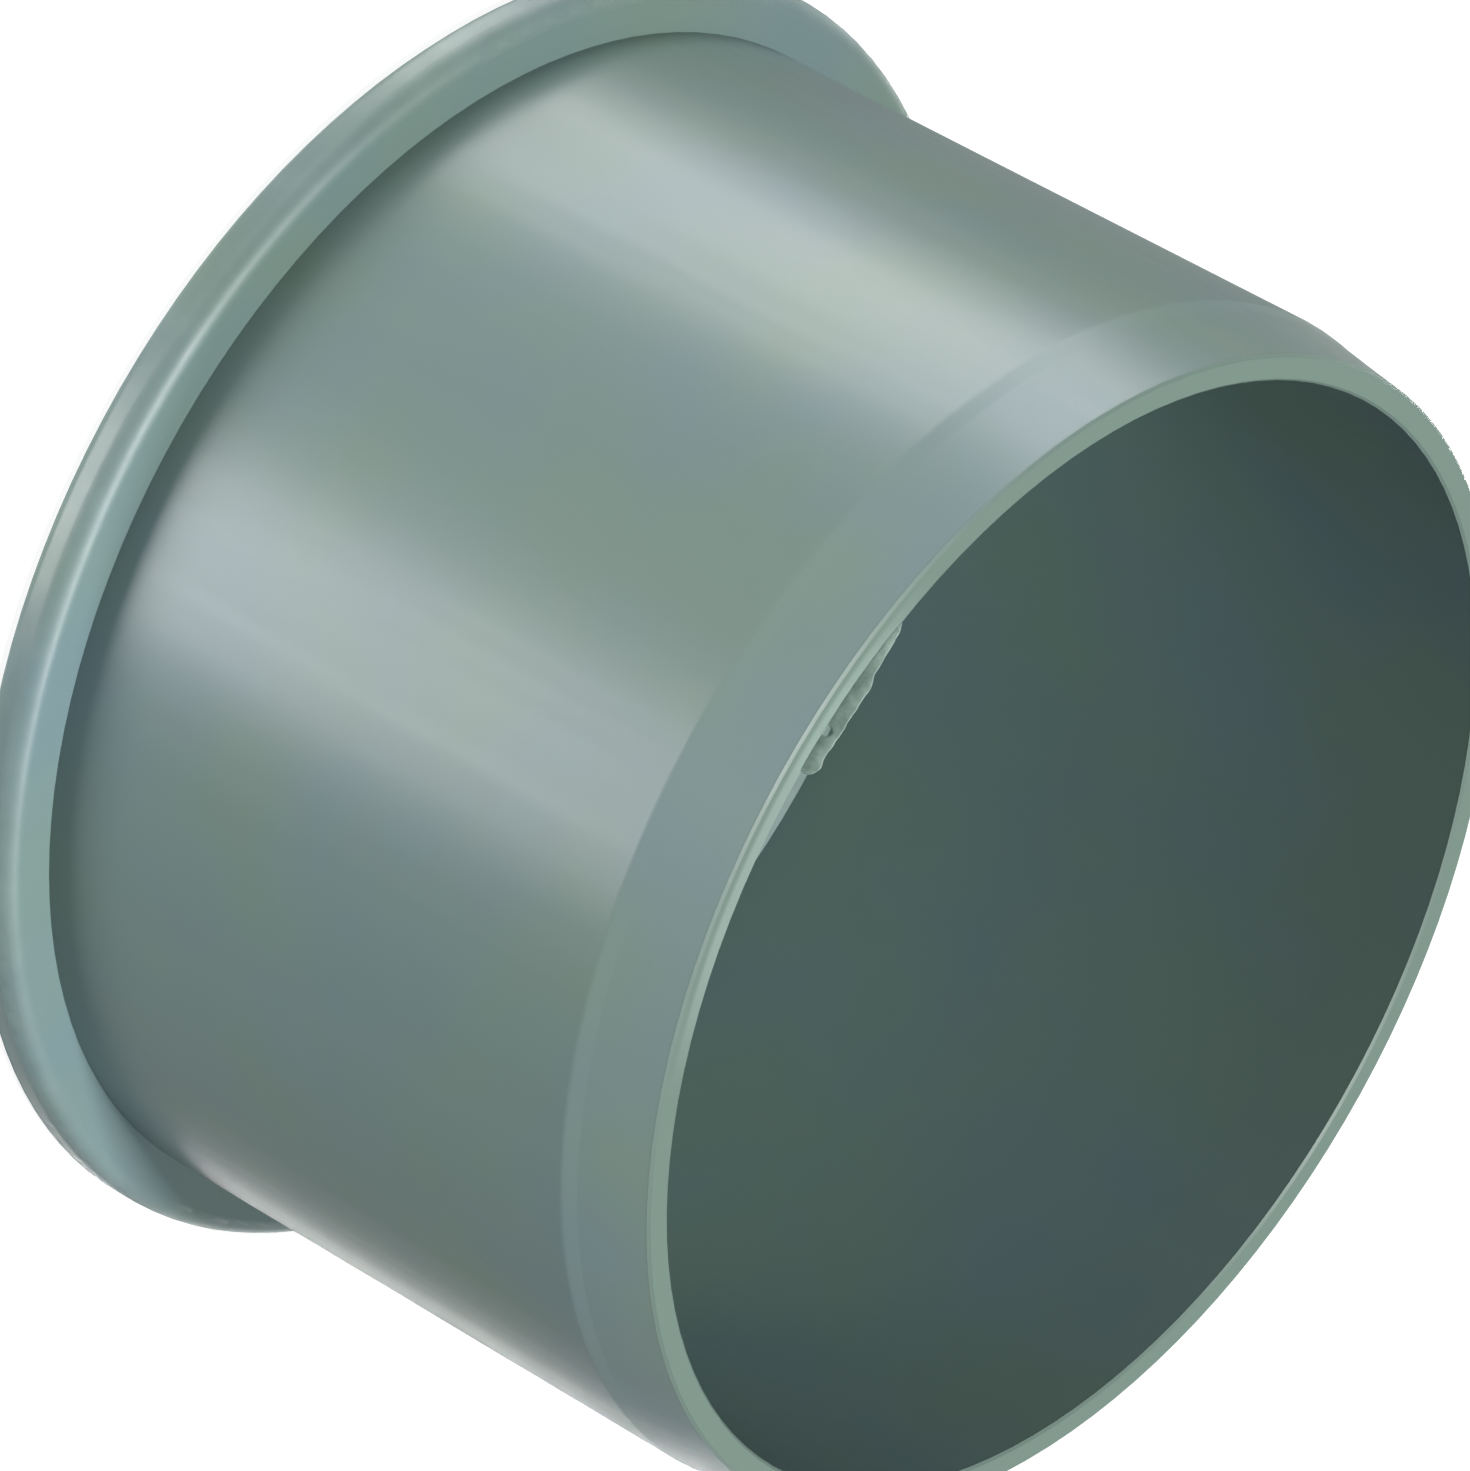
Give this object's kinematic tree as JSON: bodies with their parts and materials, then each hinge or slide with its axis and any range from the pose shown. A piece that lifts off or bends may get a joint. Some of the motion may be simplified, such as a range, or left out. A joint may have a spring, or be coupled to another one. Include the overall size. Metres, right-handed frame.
{
  "type": "pipe plug",
  "caption": "Push-in pipe plug: a thin-walled round spigot, tapered and open at the mouth, closed at its other end by a wall with a flange that stops on the socket.",
  "frame": {"origin": "centre of the flat ring that the closed end stands on", "axes": "+Z along the plug's axis, from the closed end to the open mouth; X and Y lie in the standing face"},
  "size_m": [0.0544, 0.0544, 0.033],
  "materials": {
    "grey_polypropylene": "moulded satin, green-grey"
  },
  "bodies": {
    "root": {"pipe_plug": "grey_polypropylene"}
  },
  "joints": []
}
